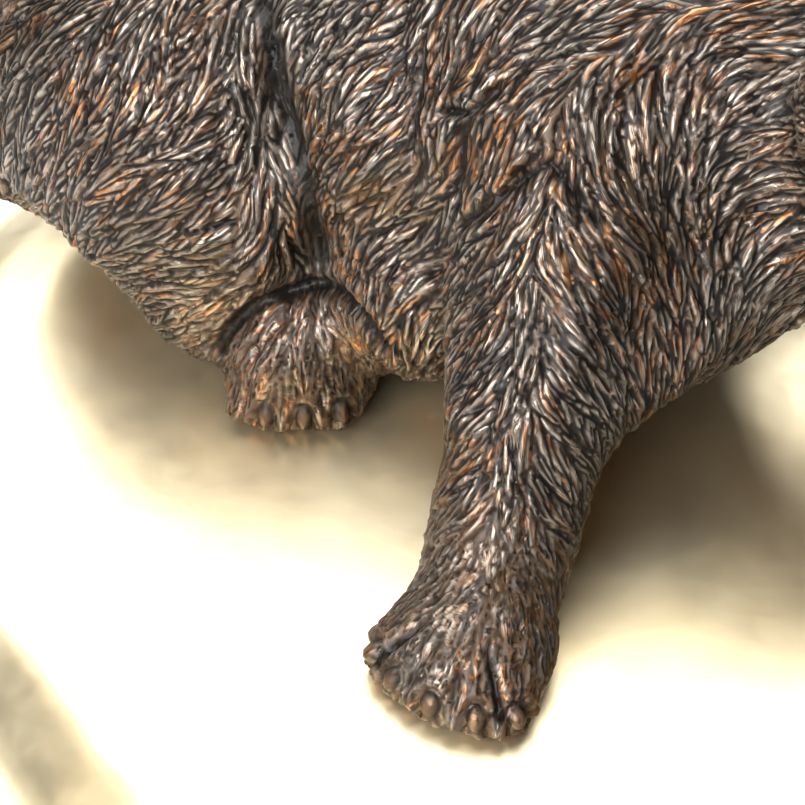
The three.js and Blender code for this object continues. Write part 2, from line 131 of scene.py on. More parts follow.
def edges_of(mesh):
    flat = np.empty(len(mesh.edges) * 2, dtype=np.int32)
    mesh.edges.foreach_get("vertices", flat)
    return flat.reshape(-1, 2)


print("points of the packed koala:", len(points_of(bpy.data.objects["koala"].data)))

# %% [markdown]
# ## Easing, blending and modifiers
# Wax is smoothed by stroking it. On a mesh the same is done by moving each point towards the mean of its
# neighbours. The helpers here ease any value that sits on the points, blend softly between two limits, keep
# a value on the mesh as an attribute that the paint can read, and apply one modifier to a mesh.

# %% Ease, blend, store and apply
def eased(values, edges, rounds, strength=0.5):
    """Each value moves towards the mean of its neighbours, round after round."""
    count = len(values)
    both = np.concatenate([edges[:, 0], edges[:, 1]])
    other = np.concatenate([edges[:, 1], edges[:, 0]])
    neighbours = np.maximum(np.bincount(both, minlength=count), 1)
    columns = values.reshape(count, -1).copy()
    for _ in range(rounds):
        for axis in range(columns.shape[1]):
            total = np.bincount(both, weights=columns[other, axis], minlength=count)
            columns[:, axis] += strength * (total / neighbours - columns[:, axis])
    return columns.reshape(values.shape)


def unit(vectors):
    length = np.linalg.norm(vectors, axis=-1, keepdims=True)
    return vectors / np.maximum(length, 1e-12)


def smoothstep(low, high, value):
    t = np.clip((value - low) / (high - low), 0, 1)
    return t * t * (3 - 2 * t)


def add_float(mesh, name, values):
    layer = mesh.attributes.new(name, "FLOAT", "POINT")
    layer.data.foreach_set("value", values.astype(np.float32))


def add_vector(mesh, name, values):
    layer = mesh.attributes.new(name, "FLOAT_VECTOR", "POINT")
    layer.data.foreach_set("vector", values.astype(np.float32).ravel())


def applied(mesh, kind, **settings):
    """A copy of the mesh with one modifier applied."""
    helper = bpy.data.objects.new("helper", mesh)
    bpy.context.scene.collection.objects.link(helper)
    modifier = helper.modifiers.new("step", kind)
    for key, value in settings.items():
        setattr(modifier, key, value)
    depsgraph = bpy.context.evaluated_depsgraph_get()
    made = bpy.data.meshes.new_from_object(helper.evaluated_get(depsgraph))
    bpy.data.objects.remove(helper)
    return made


def triangle_count(mesh):
    return sum(len(face.vertices) - 2 for face in mesh.polygons)


# %% [markdown]
# ## The figure's own frame
# The model lays the animal out in hundredths of its length: forward, to its right, and up from the
# boulder's crown. Paws, face and coat are placed in that frame here too, so that they meet the solid that
# they stand for.

# %% Figure frame and landmarks
FIGURE_LENGTH = 286 * MM
FIGURE_PLACE = (-46 * MM, 55 * MM)
FIGURE_HEADING = math.radians(-20)
CROWN_HEIGHT = 58 * MM
hundredth = FIGURE_LENGTH / 100
heading_cos, heading_sin = math.cos(FIGURE_HEADING), math.sin(FIGURE_HEADING)
FORWARD = np.array([heading_cos, heading_sin, 0.0])
RIGHT = np.array([heading_sin, -heading_cos, 0.0])
UP = np.array([0.0, 0.0, 1.0])
ORIGIN = np.array([FIGURE_PLACE[0], FIGURE_PLACE[1], CROWN_HEIGHT])


def to_world(place):
    place = np.asarray(place, dtype=float)
    return ORIGIN + hundredth * (
        place[..., :1] * FORWARD + place[..., 1:2] * RIGHT + place[..., 2:3] * UP
    )


def to_figure(points):
    away = (points - ORIGIN) / hundredth
    return np.stack([away @ FORWARD, away @ RIGHT, away @ UP], axis=-1)


print("figure origin", ORIGIN)

# %% [markdown]
# ## The bare body under the coat
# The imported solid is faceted, with sides of 6 to 9 mm. It could be sculpted on as it is, but its edges
# would show. Remeshing it with small voxels gives even faces, and easing those takes the facets off but
# keeps the big locks. A second, finer remesh then has a point about every half millimetre, which is what a
# strand 1.5 mm wide needs.

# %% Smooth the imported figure
ROUGH_VOXEL = 1.5 * MM
FINE_VOXEL = 0.42 * MM
EASE_ROUNDS = 16
FINE_EASE_ROUNDS = 3
NORMAL_EASE_ROUNDS = 4

packed = bpy.data.objects["koala"]
packed_mesh = packed.data.copy()
packed_mesh.transform(packed.matrix_world)
rough = applied(packed_mesh, "REMESH", mode="VOXEL", voxel_size=ROUGH_VOXEL)
set_points(rough, eased(points_of(rough), edges_of(rough), EASE_ROUNDS))
body = applied(rough, "REMESH", mode="VOXEL", voxel_size=FINE_VOXEL)
body_edges = edges_of(body)
set_points(body, eased(points_of(body), body_edges, FINE_EASE_ROUNDS))
skin = points_of(body)
normals = unit(eased(normals_of(body), body_edges, NORMAL_EASE_ROUNDS))


def surface_of(mesh):
    corners = [tuple(face.vertices) for face in mesh.polygons]
    return BVHTree.FromPolygons([Vector(point) for point in points_of(mesh)], corners)


bare_surface = surface_of(rough)
print("bare body:", len(skin), "points")

# %% [markdown]
# ## Which way the coat lies
# The fur isn't combed one way. On the thigh it falls to the rear and parts along a ridge above the knee; on
# the belly it sweeps back in arcs; along the forearm it parts on both sides of a ridge; on the paws it fans
# out to the toes. Guide lines drawn on the photograph give those directions. Each is dropped along the
# camera's rays onto the bare body. The side that the photograph doesn't show gets the same lines mirrored,
# and the head has guides of its own.

# %% Guide lines in the photograph's pixels
THIGH_LINES = [
    [(182, 17), (165, 60), (151, 103)],
    [(220, 82), (196, 110), (168, 137)],
    [(237, 111), (190, 143), (137, 171)],
    [(254, 171), (206, 212), (151, 240)],
    [(240, 223), (196, 246), (151, 257)],
    [(268, 250), (214, 284), (166, 292)],
    [(262, 284), (232, 318), (204, 336)],
    [(240, 74), (258, 120), (283, 178)],
    [(262, 20), (274, 90), (292, 160)],
    [(262, 178), (280, 226), (300, 276)],
]
BELLY_LINES = [
    [(348, 9), (318, 44), (302, 86), (299, 111)],
    [(402, 26), (348, 60), (316, 154)],
    [(402, 94), (357, 123), (323, 165)],
    [(412, 132), (384, 160), (352, 196), (330, 236)],
    [(420, 185), (386, 206), (351, 231)],
    [(437, 249), (403, 269), (380, 290), (369, 317)],
    [(326, 250), (329, 276), (334, 300)],
    [(372, 270), (366, 300), (365, 321)],
    [(446, 291), (394, 317), (382, 343)],
    [(420, 334), (414, 350), (411, 365)],
    [(440, 10), (428, 60), (418, 110), (424, 160)],
]
SHOULDER_LINES = [
    [(454, 9), (444, 50), (437, 86)],
    [(506, 17), (485, 72), (446, 106)],
    [(617, 9), (560, 34), (506, 60), (470, 104), (454, 146)],
    [(626, 43), (557, 57), (506, 96), (470, 150)],
    [(575, 77), (540, 130), (506, 180)],
    [(600, 51), (581, 96), (585, 137)],
    [(643, 48), (609, 75), (600, 120), (602, 171)],
    [(652, 86), (656, 140), (652, 189)],
    [(617, 120), (622, 150), (634, 186)],
    [(592, 189), (618, 226), (652, 268)],
    [(640, 240), (650, 290), (655, 340)],
]
FOREARM_LINES = [
    [(540, 202), (527, 240), (526, 266), (535, 334), (520, 403), (505, 480), (490, 545)],
    [(534, 208), (505, 236), (472, 268)],
    [(520, 250), (490, 290), (463, 320)],
    [(523, 300), (506, 343), (463, 386)],
    [(520, 350), (495, 390), (456, 425)],
    [(510, 410), (486, 450), (450, 486)],
    [(500, 470), (474, 506), (440, 536)],
    [(549, 202), (572, 230), (597, 257)],
    [(538, 270), (566, 300), (600, 330)],
    [(540, 343), (568, 374), (606, 410)],
    [(530, 400), (560, 440), (590, 478)],
    [(512, 470), (540, 510), (572, 548)],
]
PAW_LINES = [
    [(480, 560), (430, 600), (385, 640)],
    [(485, 560), (445, 620), (404, 684)],
    [(492, 560), (466, 630), (432, 704)],
    [(498, 560), (490, 640), (478, 716)],
    [(506, 560), (520, 630), (520, 700)],
    [(520, 545), (548, 600), (552, 660)],
]
FOOT_LINES = [
    [(300, 296), (268, 330), (240, 372)],
    [(304, 298), (284, 350), (268, 400)],
    [(308, 300), (304, 350), (308, 404)],
    [(312, 298), (334, 340), (346, 398)],
    [(320, 304), (352, 340), (368, 386)],
]


ALL_LINES = THIGH_LINES + BELLY_LINES + SHOULDER_LINES + FOREARM_LINES + PAW_LINES + FOOT_LINES
print("guide lines:", len(ALL_LINES))

# %% [markdown]
# ## Dropping the lines onto the body
# A line drawn on a photograph has no depth. Casting a ray from the camera through each of its pixels finds
# the point of the bare body behind it. Each piece of a line then becomes one guide: a place, a direction,
# the way that the skin faces there, and a weight.

# %% Guides from the lines
LONGEST_GUIDE = 40 * MM


def on_body(pixel):
    place, normal, _, _ = bare_surface.ray_cast(camera_place, photo_ray(pixel))
    return (np.array(place), np.array(normal)) if place else None


guides = []


def add_guide(start, end, normal, weight=1.0):
    direction = end - start
    if np.linalg.norm(direction) > 0:
        guides.append((0.5 * (start + end), unit(direction), unit(normal), weight))


def mirrored(vector):
    return vector - 2 * (vector @ RIGHT) * RIGHT


def mirrored_place(place):
    return ORIGIN + mirrored(place - ORIGIN)


MIRRORED_LINES = THIGH_LINES + BELLY_LINES + FOOT_LINES + SHOULDER_LINES[:4]
for line in ALL_LINES:
    hits = [hit for hit in map(on_body, line) if hit]
    for (start, normal), (end, _) in zip(hits, hits[1:]):
        if np.linalg.norm(end - start) < LONGEST_GUIDE:
            add_guide(start, end, normal)
            if line in MIRRORED_LINES:
                add_guide(mirrored_place(start), mirrored_place(end), mirrored(normal))
print("guides from the photograph and their mirror images:", len(guides))

# %% [markdown]
# ## Creases between the limbs
# The sculptor pressed deep grooves where one form meets the next: between thigh and belly, over the rear
# foot, and where the shoulder's coat ends in two points over the forearm. They are drawn as lines on the
# photograph too, and each is pressed in with the soft profile of a bell curve. The two at the hind leg are
# pressed on both sides.

# %% Creases in the photograph's pixels
LONGEST_CREASE_STEP = 30 * MM
THIGH_CREASE = [(262, 0), (272, 50), (281, 103), (293, 150), (305, 189), (312, 230), (318, 262)]
FOOT_CREASE = [
    (216, 352), (236, 322), (262, 304), (290, 292), (318, 284), (340, 292), (362, 318), (382, 350),
]
MANTLE_EDGE = [
    (458, 222), (474, 212), (492, 201), (520, 180), (549, 163), (566, 184), (583, 206), (598, 222),
]
SHOULDER_POCKET = [(444, 110), (462, 115), (478, 104), (494, 90)]
ARM_CREASE = [(462, 122), (456, 160), (452, 200)]

# Each crease has its line, its width, its depth and whether the other side of the body has it too.
CREASES = [
    (THIGH_CREASE, 3.8 * MM, 2.8 * MM, True),
    (FOOT_CREASE, 2.3 * MM, 3.2 * MM, True),
    (MANTLE_EDGE, 1.8 * MM, 2.6 * MM, False),
    (SHOULDER_POCKET, 1.8 * MM, 3.2 * MM, False),
    (ARM_CREASE, 2.2 * MM, 2.4 * MM, False),
]

crease = np.zeros(len(skin))


def press_crease(start, end, width, depth):
    low = np.minimum(start, end) - 3 * width
    high = np.maximum(start, end) + 3 * width
    near = np.flatnonzero(((skin > low) & (skin < high)).all(axis=1))
    along = end - start
    share = np.clip((skin[near] - start) @ along / (along @ along), 0, 1)
    away = np.linalg.norm(skin[near] - start - share[:, None] * along, axis=1)
    crease[near] = np.maximum(crease[near], depth * np.exp(-((away / width) ** 2)))


for line, width, depth, on_both_sides in CREASES:
    hits = [hit[0] for hit in map(on_body, line) if hit]
    for start, end in zip(hits, hits[1:]):
        if 0 < np.linalg.norm(end - start) < LONGEST_CREASE_STEP:
            press_crease(start, end, width, depth)
            if on_both_sides:
                press_crease(mirrored_place(start), mirrored_place(end), width, depth)
print("points in creases:", int((crease > 1 * MM).sum()))

# %% [markdown]
# ## Places on the head
# The head, with its ears, eyes and nose, is outside the photograph. It is turned and bowed a little, so it
# has a small frame of its own: to the front, to its right side and up from the middle of the skull, again
# in hundredths of the figure's length.

# %% The head's frame
HEAD_CENTER = np.array([57.0, -3.5, 36.0])
HEAD_YAW = math.radians(14)
HEAD_NOD = math.radians(9)
HEAD_RADIUS = 15.0
EAR_PLACE = {"front": -1.5, "side": 15.4, "up": 9.2}
NOSE_PLACE = {"front": 14.1, "up": -1.2}


def on_head(front, side, up):
    nodded = front * math.cos(HEAD_NOD) + up * math.sin(HEAD_NOD)
    return HEAD_CENTER + np.array([
        nodded * math.cos(HEAD_YAW) - side * math.sin(HEAD_YAW),
        nodded * math.sin(HEAD_YAW) + side * math.cos(HEAD_YAW),
        up * math.cos(HEAD_NOD) - front * math.sin(HEAD_NOD),
    ])


head_middle = to_world(HEAD_CENTER)
nose_bridge = to_world(on_head(NOSE_PLACE["front"], 0, NOSE_PLACE["up"] + 4))
print("middle of the head", head_middle.round(3))

# %% [markdown]
# ## Guides for what the photograph leaves out
# On the head the coat spreads from the bridge of the nose backwards, and the ears' long tufts point away
# from the head. On the back it runs to the rear and a little down. On the far arm it runs from the shoulder
# down to the hand. Each guide is set near a place in the air and then drops to the skin nearest to it.

# %% Head, ears, back and far arm
LEFT_SHOULDER = [29, -12, 27]
LEFT_ELBOW = [35, -26.5, 13.5]
LEFT_HAND_AT = (52, -22)


def guide_near(place, direction, weight=1.0):
    """A guide on the skin nearest to a place, laid along the skin."""
    found, normal, _, _ = bare_surface.find_nearest(Vector(place))
    found, normal = np.array(found), np.array(normal)
    along = direction - (direction @ normal) * normal
    add_guide(found - 2 * MM * unit(along), found + 2 * MM * unit(along), normal, weight)


for front in (-12, -4, 4, 10):
    for turn in range(0, 360, 30):
        side, up = math.sin(math.radians(turn)), math.cos(math.radians(turn))
        spread = HEAD_RADIUS * math.sqrt(max(1 - (front / HEAD_RADIUS) ** 2, 0.05))
        place = to_world(on_head(front, side * spread, up * spread))
        fall = -0.5 * UP if up < 0.5 else 0 * UP
        guide_near(place, unit(place - nose_bridge) + fall)
for side in (-1, 1):
    ear = to_world(on_head(EAR_PLACE["front"], side * EAR_PLACE["side"], EAR_PLACE["up"]))
    for turn in range(0, 360, 45):
        out = math.cos(math.radians(turn)) * UP + math.sin(math.radians(turn)) * RIGHT * side
        guide_near(ear + 9 * hundredth * out, unit(out + 0.6 * unit(ear - head_middle)), 2.0)
for forward in range(-36, 48, 7):
    for right in (-9, 0, 9):
        guide_near(to_world([forward, right, 60]), -FORWARD + 0.12 * right / 9 * RIGHT - 0.1 * UP)
for up in (8, 16, 24, 32):
    for right in (-8, 0, 8):
        guide_near(to_world([-60, right, up]), -UP + 0.05 * right * RIGHT)
arm_points = [to_world(p) for p in (LEFT_SHOULDER, LEFT_ELBOW, [*LEFT_HAND_AT, 5])]
for start, end in zip(arm_points, arm_points[1:]):
    for share in (0.15, 0.4, 0.65, 0.9):
        middle = start + share * (end - start)
        for out in (UP, -RIGHT, RIGHT, FORWARD, -FORWARD):
            guide_near(middle + 12 * hundredth * out, unit(end - start) - 0.15 * UP)
for forward in range(8, 40, 8):
    for right in (-10, 0, 10):
        guide_near(to_world([forward, right, 2]), -FORWARD - 0.2 * UP, 0.6)

guide_places = np.array([g[0] for g in guides])
guide_directions = np.array([g[1] for g in guides])
guide_normals = np.array([g[2] for g in guides])
guide_weights = np.array([g[3] for g in guides])
print("guides in all:", len(guides))

# %% [markdown]
# ## The flow field
# The direction at a point is the mean of the guides near it, and a guide counts only where the skin faces
# the same way as its own patch of skin. That keeps the arm's guides off the belly behind it. A
# nearest-guide rule would be quicker, but it would leave a seam wherever two guides meet.

# %% Direction of the coat at any point
GUIDE_REACH = 9 * MM
BACK_AND_DOWN = -0.7 * FORWARD - 0.5 * UP
POINTS_AT_A_TIME = 4000


def coat_direction(places, facings):
    made = np.empty_like(places)
    for start in range(0, len(places), POINTS_AT_A_TIME):
        part = slice(start, start + POINTS_AT_A_TIME)
        away = ((places[part, None, :] - guide_places[None]) ** 2).sum(axis=2)
        alike = np.clip(facings[part] @ guide_normals.T, 0, 1) ** 2 + 0.002
        pull = guide_weights * alike / (away + (0.35 * GUIDE_REACH) ** 2) ** 1.6
        made[part] = (pull @ guide_directions) / pull.sum(axis=1, keepdims=True) + 0.02 * BACK_AND_DOWN
    return unit(made - (made * facings).sum(axis=1, keepdims=True) * facings)


print("the coat at the first guide lies along", coat_direction(guide_places[:1], guide_normals[:1]).round(2))

# %% [markdown]
# ## Paws and toes
# Each paw is a fan of five toes, resting on the boulder. The far hand and both feet are built like the near
# hand, so one formula gives the tip of any toe from the paw's place, its heading and its form. A ray cast
# straight down finds the boulder's height under it. The nails and the furrows between the toes both start
# from these tips.

# %% Places of the toes
HAND = {"length": 8.4, "width": 7.6, "toe": 2.05, "fan": 25, "nails": (-2, -1, 0, 1, 2)}
FOOT = {"length": 7.4, "width": 7.0, "toe": 1.85, "fan": 24, "nails": (-1, 0, 1)}
PAWS = {
    "right_hand": ((29.5, 43.2), -9, HAND),
    "left_hand": (LEFT_HAND_AT, 100, HAND),
    "right_foot": ((3.8, 17.4), 22, FOOT),
    "left_foot": ((3.8, -17.4), 158, FOOT),
}

boulder = bpy.data.objects["boulder_base"]
boulder_mesh = boulder.data.copy()
boulder_mesh.transform(boulder.matrix_world)
boulder_surface = surface_of(boulder_mesh)


def resting(forward, right, rise):
    above = to_world([forward, right, 60])
    ground, _, _, _ = boulder_surface.ray_cast(Vector(above), Vector((0, 0, -1)))
    height = (ground.z - CROWN_HEIGHT) / hundredth if ground else 0
    return to_world([forward, right, height + rise])


def toe_tip(paw, toe):
    at, points, form = PAWS[paw]
    turn, spread = math.radians(points), math.radians(toe * form["fan"])
    ahead = form["length"] * 0.83 * math.cos(spread)
    aside = form["width"] * 1.04 * math.sin(spread * 1.18)
    return resting(
        at[0] + ahead * math.sin(turn) + aside * math.cos(turn),
        at[1] + ahead * math.cos(turn) - aside * math.sin(turn),
        form["toe"] * 1.02,
    )


print("tip of the near hand's middle toe", toe_tip("right_hand", 0).round(3))

# %% [markdown]
# ## Nails
# A nail is a small oval pad at the tip of a toe, leaning back. It could be a separate bead, but on the
# casting it grows out of the toe, so it is only marked here as an oval on the skin: a place, three
# directions and two half sizes. The coat then keeps off it and the oval is raised with the rest.

# %% Places of the nails
NAIL_LEAN = math.radians(42)
NAIL_HALF_WIDTH = 0.60
NAIL_HALF_LENGTH = 0.84

nails = []
for paw, (_, points, form) in PAWS.items():
    for toe in form["nails"]:
        tip = toe_tip(paw, toe)
        heading = math.radians(points) + math.radians(toe * form["fan"]) * 0.8
        out = math.sin(heading) * FORWARD + math.cos(heading) * RIGHT
        across = math.cos(heading) * FORWARD - math.sin(heading) * RIGHT
        face = out * math.cos(NAIL_LEAN) + UP * math.sin(NAIL_LEAN)
        along = out * math.sin(NAIL_LEAN) - UP * math.cos(NAIL_LEAN)
        nails.append({
            "place": tip + face * form["toe"] * hundredth,
            "across": across, "along": along, "face": face,
            "half_width": NAIL_HALF_WIDTH * form["toe"] * hundredth,
            "half_length": NAIL_HALF_LENGTH * form["toe"] * hundredth,
        })
print("nails:", len(nails))

# %% [markdown]
# ## Nails, eyes and nose on the skin
# These stay smooth, so every point of the skin has to know how far it is from them. The distance is counted
# in shares of each oval: under 1 is inside it and over 1 is outside. The eyes and the nose sit a little
# under the skin, which makes a rim around them.

# %% Ovals on the skin
EYE = {"front": 11.6, "side": 6.5, "up": 2.9, "radius": 1.6, "sunk": 0.45}
NOSE_RADII = (3.4, 3.6, 5.4)
NOSE_SUNK = 1.3
NAIL_REACH = 8 * MM
FAR_AWAY = 9.0


def oval_share(points, place, axes, halves):
    away = points - place
    return np.sqrt(sum(((away @ axis) / half) ** 2 for axis, half in zip(axes, halves)))


def under_skin(place, sunk):
    """The skin's point nearest to a place on the head, moved inwards."""
    found, normal, _, _ = bare_surface.find_nearest(Vector(to_world(place)))
    return np.array(found) - np.array(normal) * sunk * hundredth


head_front = unit(to_world(on_head(1, 0, 0)) - to_world(on_head(0, 0, 0)))
head_side = unit(to_world(on_head(0, 1, 0)) - to_world(on_head(0, 0, 0)))
head_up = unit(to_world(on_head(0, 0, 1)) - to_world(on_head(0, 0, 0)))
nail_share = np.full(len(skin), FAR_AWAY)
for nail in nails:
    near = np.flatnonzero(((skin - nail["place"]) ** 2).sum(axis=1) < NAIL_REACH**2)
    near = near[normals[near] @ nail["face"] > 0.05]
    nail_axes = (nail["across"], nail["along"])
    nail_halves = (nail["half_width"], nail["half_length"])
    share = oval_share(skin[near], nail["place"], nail_axes, nail_halves)
    nail_share[near] = np.minimum(nail_share[near], share)
eye_share = np.full(len(skin), FAR_AWAY)
for side in (-1, 1):
    eye_place = under_skin(on_head(EYE["front"], side * EYE["side"], EYE["up"]), 2 * EYE["sunk"])
    eye_half = EYE["radius"] * hundredth
    eye_share = np.minimum(eye_share, np.linalg.norm(skin - eye_place, axis=1) / eye_half)
nose_place = under_skin(on_head(NOSE_PLACE["front"], 0, NOSE_PLACE["up"]), NOSE_SUNK)
nose_halves = [r * hundredth for r in (NOSE_RADII[1], NOSE_RADII[2], NOSE_RADII[0])]
nose_share = oval_share(skin, nose_place, (head_side, head_up, head_front), nose_halves)
furry = (nail_share > 1.12) & (eye_share > 1.5) & (nose_share > 1.12)
print("points under nails:", int((nail_share < 1).sum()), "eyes:", int((eye_share < 1.2).sum()))

# %% [markdown]
# ## Furrows between the toes
# Five toes lie side by side on each paw, with a furrow between each two. The furrow runs from between two
# toe tips back towards the middle of the paw and fades out there. On the hands the outermost toes stand
# apart, so the furrow beside them is longer and deeper. All of them are cut from above, and only where the
# skin faces up.

# %% Furrows between the toes
FURROW_WIDTH = 1.5 * MM
DEEP_FURROW = {"depth": 2.4 * MM, "start": 0.32}
SHALLOW_FURROW = {"depth": 1.5 * MM, "start": 0.62}
FURROW_REACH = 26 * MM


def plan_distance(points, start, end):
    """Distance from a line seen from above, and the share of the way along it."""
    along = (end - start)[:2]
    away = points[:, :2] - start[:2]
    share = np.clip(away @ along / (along @ along), 0, 1.25)
    return np.linalg.norm(away - share[:, None] * along, axis=1), share


furrow = np.zeros(len(skin))
for paw, (at, _, form) in PAWS.items():
    middle = resting(at[0], at[1], 0)
    for toe in (-2, -1, 0, 1):
        kind = DEEP_FURROW if form is HAND and toe in (-2, 1) else SHALLOW_FURROW
        gap = 0.5 * (toe_tip(paw, toe) + toe_tip(paw, toe + 1))
        start = middle + kind["start"] * (gap - middle)
        near = np.flatnonzero(((skin - gap) ** 2).sum(axis=1) < FURROW_REACH**2)
        away, share = plan_distance(skin[near], start, gap)
        cut = np.exp(-((away / (FURROW_WIDTH * (0.5 + 0.5 * share))) ** 2)) * smoothstep(0.0, 0.75, share)
        cut *= kind["depth"] * smoothstep(0.1, 0.5, normals[near, 2])
        furrow[near] = np.maximum(furrow[near], cut)
print("points in furrows:", int((furrow > 1 * MM).sum()))

# %% [markdown]
# ## Strokes of the modelling tool
# Seen close up, the fur is two kinds of mark. Raised strokes are slim leaves with a flat top, narrow at the
# root and pointed at the tip, and their tips lie over the roots of the next ones. Between them the tool
# left cuts: narrow, deep and pointed at both ends. Hair strands as separate objects would be far too many
# to cast or to share, so the marks are carved into the skin. Comparing every point with every stroke would
# take hours, so space is first cut into cubic cells, and each point is compared only with the strokes that
# pass its cell.

# %% Cells in space
rng = np.random.default_rng(11)
CELL_OFFSET = 4096


def cell_keys(points, size):
    """One whole number for the cubic cell that each point is in."""
    cells = np.floor(points / size).astype(np.int64) + CELL_OFFSET
    return (cells[:, 0] << 26) + (cells[:, 1] << 13) + cells[:, 2]


def one_point_per_cell(points, size, allowed):
    """Indices of one random allowed point in each cubic cell: an even scatter over the skin."""
    picked = rng.permutation(np.flatnonzero(allowed))
    _, first = np.unique(cell_keys(points[picked], size), return_index=True)
    return picked[first]


def cells_and_strokes(strokes, points, size):
    """For each occupied cell, the points in it and the strokes that pass it."""
    count = len(strokes["place"])
    keys = []
    for share in np.linspace(-1, 1, 7):
        along = share * strokes["half_length"]
        bend = 0.5 * strokes["bend"] * along**2
        middle = strokes["place"] + along[:, None] * strokes["along"] + bend[:, None] * strokes["across"]
        for corner in np.ndindex(2, 2, 2):
            shift = (np.array(corner) * 2 - 1) * (strokes["half_width"][:, None] + 0.1 * size)
            keys.append(cell_keys(middle + shift, size) * count + np.arange(count))
    pairs = np.unique(np.concatenate(keys))
    point_keys = cell_keys(points, size)
    order = np.argsort(point_keys, kind="stable")
    cells, starts = np.unique(point_keys[order], return_index=True)
    first = np.searchsorted(pairs // count, cells, side="left")
    last = np.searchsorted(pairs // count, cells, side="right")
    for start, end, low, high in zip(starts, np.append(starts[1:], len(order)), first, last):
        if low < high:
            yield order[start:end], pairs[low:high] % count


print("cells of 4 mm on the skin:", len(np.unique(cell_keys(skin, 4 * MM))))

# %% [markdown]
# ## Raised strokes and cuts as shapes
# Each stroke carries its place, its direction, a bend and its sizes, and every point near it gets two
# shares: how far along the stroke it is and how far across. A point takes the height of the raised stroke
# whose tip is nearest, as the last press of the tool would leave it, and the depth of the deepest cut.

# %% Paint strokes onto the skin
BEND_LIMIT = 90


def on_strokes(strokes, points, here, chosen):
    """Shares along and across each stroke, and whether the point is within its length and near its skin."""
    away = points[here][:, None, :] - strokes["place"][chosen][None]
    u = np.einsum("pst,st->ps", away, strokes["along"][chosen])
    v = np.einsum("pst,st->ps", away, strokes["across"][chosen])
    deep = np.einsum("pst,st->ps", away, strokes["normal"][chosen])
    v = v - 0.5 * strokes["bend"][chosen] * u * u
    s = 0.5 + 0.5 * u / strokes["half_length"][chosen]
    inside = (s > 0) & (s < 1) & (np.abs(deep) < strokes["depth"][chosen])
    return np.clip(s, 0, 1), v / strokes["half_width"][chosen], inside


def paint_raised(strokes, points, cell_size):
    height = np.zeros(len(points))
    across = np.zeros(len(points))
    along = np.zeros(len(points))
    owner = np.full(len(points), -1)
    for here, chosen in cells_and_strokes(strokes, points, cell_size):
        s, q, inside = on_strokes(strokes, points, here, chosen)
        q = q / ((0.5 + 0.5 * np.minimum(1, 3 * s)) * np.sqrt(1 - s**3) + 1e-6)
        inside &= np.abs(q) < 1
        rank = np.where(inside, s + strokes["rank"][chosen], -1)
        best = rank.argmax(axis=1)
        rows = np.flatnonzero(rank[np.arange(len(here)), best] > 0)
        winner = best[rows]
        q, s = q[rows, winner], s[rows, winner]
        profile = 1 - np.abs(q) ** strokes["flatness"][chosen[winner]]
        height[here[rows]] = strokes["height"][chosen[winner]] * profile * (0.5 + 0.5 * s)
        across[here[rows]] = q
        along[here[rows]] = s
        owner[here[rows]] = chosen[winner]
    return height, across, along, owner


def paint_cuts(strokes, points, cell_size):
    depth = np.zeros(len(points))
    for here, chosen in cells_and_strokes(strokes, points, cell_size):
        s, q, inside = on_strokes(strokes, points, here, chosen)
        taper = (4 * s * (1 - s)) ** 0.6 + 1e-6
        profile = np.where(inside, np.clip(1 - (q / taper) ** 2, 0, 1) * taper, 0)
        depth[here] = (profile * strokes["height"][chosen]).max(axis=1)
    return depth


def strokes_at(picked, lengths, widths, heights, along, flatness=3.0):
    """Bent strokes centred on points of the skin."""
    place, normal = skin[picked], normals[picked]
    across = np.cross(normal, along)
    ahead = coat_direction(place + along * lengths[:, None] * 0.6, normal)
    behind = coat_direction(place - along * lengths[:, None] * 0.6, normal)
    bend = ((ahead - behind) * across).sum(axis=1) / (1.2 * lengths)
    return {
        "place": place, "normal": normal, "along": along, "across": across,
        "bend": np.clip(bend, -BEND_LIMIT, BEND_LIMIT),
        "half_length": lengths, "half_width": widths, "height": heights,
        "flatness": np.full(len(picked), 1.0) * flatness,
        "depth": np.maximum(4 * widths, 3 * MM), "rank": rng.random(len(picked)) * 0.9,
    }


print("tightest bend of a stroke, as a radius in mm:", round(1000 / BEND_LIMIT, 1))

# %% [markdown]
# ## How long and how fine the coat is
# The coat is long on the body and short on the paws and the face. Its strokes are finest on the side that
# the photograph shows. Both are worked out for every point: the length of the coat from 0 to 1, and a
# coarseness from 1 on the seen side to 2.2 on the other.

# %% Coat length over the body
paw_middles = [resting(at[0], at[1], 4) for at, _, _ in PAWS.values()]
from_paw = np.min([np.linalg.norm(skin - middle, axis=1) for middle in paw_middles], axis=0)
from_face = np.linalg.norm(skin - to_world(on_head(12, 0, 0)), axis=1)
coat = np.minimum(smoothstep(18 * MM, 44 * MM, from_paw), smoothstep(20 * MM, 46 * MM, from_face))

FRAME_MARGIN = 0.02
FAR_SIDE_COARSENESS = 2.2
towards = skin - np.array(camera_place)
seen = smoothstep(-0.1, 0.12, -(normals * unit(towards)).sum(axis=1))
in_camera = towards @ np.array(camera_turn.to_matrix())
half_frame = CAMERA_SENSOR / CAMERA_LENS / 2
for axis in (0, 1):
    place_in_frame = np.abs(in_camera[:, axis] / in_camera[:, 2]) / half_frame
    seen *= smoothstep(1 + 4 * FRAME_MARGIN, 1 + FRAME_MARGIN, place_in_frame)
coarseness = FAR_SIDE_COARSENESS - (FAR_SIDE_COARSENESS - 1) * seen
print("share of the skin that the photograph shows:", round(float(seen.mean()), 2))

# %% [markdown]
# ## Tufts
# Wet or woolly fur gathers in tufts, and the sculptor lays those down first, as broad low swellings. They
# are the same leaf shape as a stroke, only larger: half lengths of 6 to 16 mm. Sizes below are in
# millimetres, first for the shortest coat, then what the longest coat adds to it.

